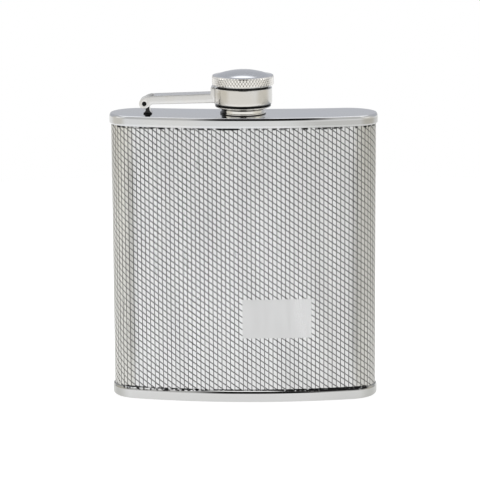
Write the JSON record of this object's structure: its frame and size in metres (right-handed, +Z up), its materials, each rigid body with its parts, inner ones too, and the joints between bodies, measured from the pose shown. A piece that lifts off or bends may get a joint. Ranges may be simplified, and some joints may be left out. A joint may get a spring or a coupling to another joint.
{
  "type": "hip flask",
  "caption": "Curved pocket hip flask with an engraved sleeve, pressed end covers, a threaded neck and a captive screw cap on a hinged arm.",
  "frame": {"origin": "middle of the flat underside, at the centre of the flask's bounding box", "axes": "+Z up through the neck, +X across the flask from the arm's hinge towards the free side, +Y out of the hollow back, so the engraved front faces -Y"},
  "size_m": [0.094, 0.0258, 0.1163],
  "materials": {
    "sleeve_steel": "engraved with fine crossing lines, bright facets",
    "top_cover_steel": "polished stainless steel",
    "base_cover_steel": "polished stainless steel",
    "spout_steel": "machined stainless steel",
    "collar_steel": "polished stainless steel",
    "post_steel": "polished stainless steel",
    "washer_steel": "plain stainless steel",
    "pin_steel": "dark drawn steel",
    "arm_steel": "polished stainless steel",
    "ring_steel": "polished stainless steel",
    "head_steel": "polished dome, knurled band",
    "core_plastic": "moulded plastic",
    "insert_steel": "machined stainless steel",
    "liner_rubber": "smooth silicone"
  },
  "bodies": {
    "flask": {"body_sleeve": "sleeve_steel", "top_cover": "top_cover_steel", "base_cover": "base_cover_steel", "spout": "spout_steel", "neck_collar": "collar_steel", "pivot_post": "post_steel", "post_washer": "washer_steel", "hinge_pin": "pin_steel"},
    "arm": {"captive_arm": "arm_steel", "captive_ring": "ring_steel"},
    "cap": {"cap_head": "head_steel", "cap_core": "core_plastic", "cap_insert": "insert_steel", "cap_liner": "liner_rubber"}
  },
  "joints": [
    {"name": "arm_swing", "type": "hinge", "parent": "flask", "child": "arm", "pos_m": [-0.03425, 0, 0.10475], "axis": [0, -1, 0], "range_deg": [0, 180]},
    {"name": "cap_turn", "type": "hinge", "parent": "arm", "child": "cap", "pos_m": [0, 0, 0.11], "axis": [0, 0, 1], "continuous": true}
  ]
}
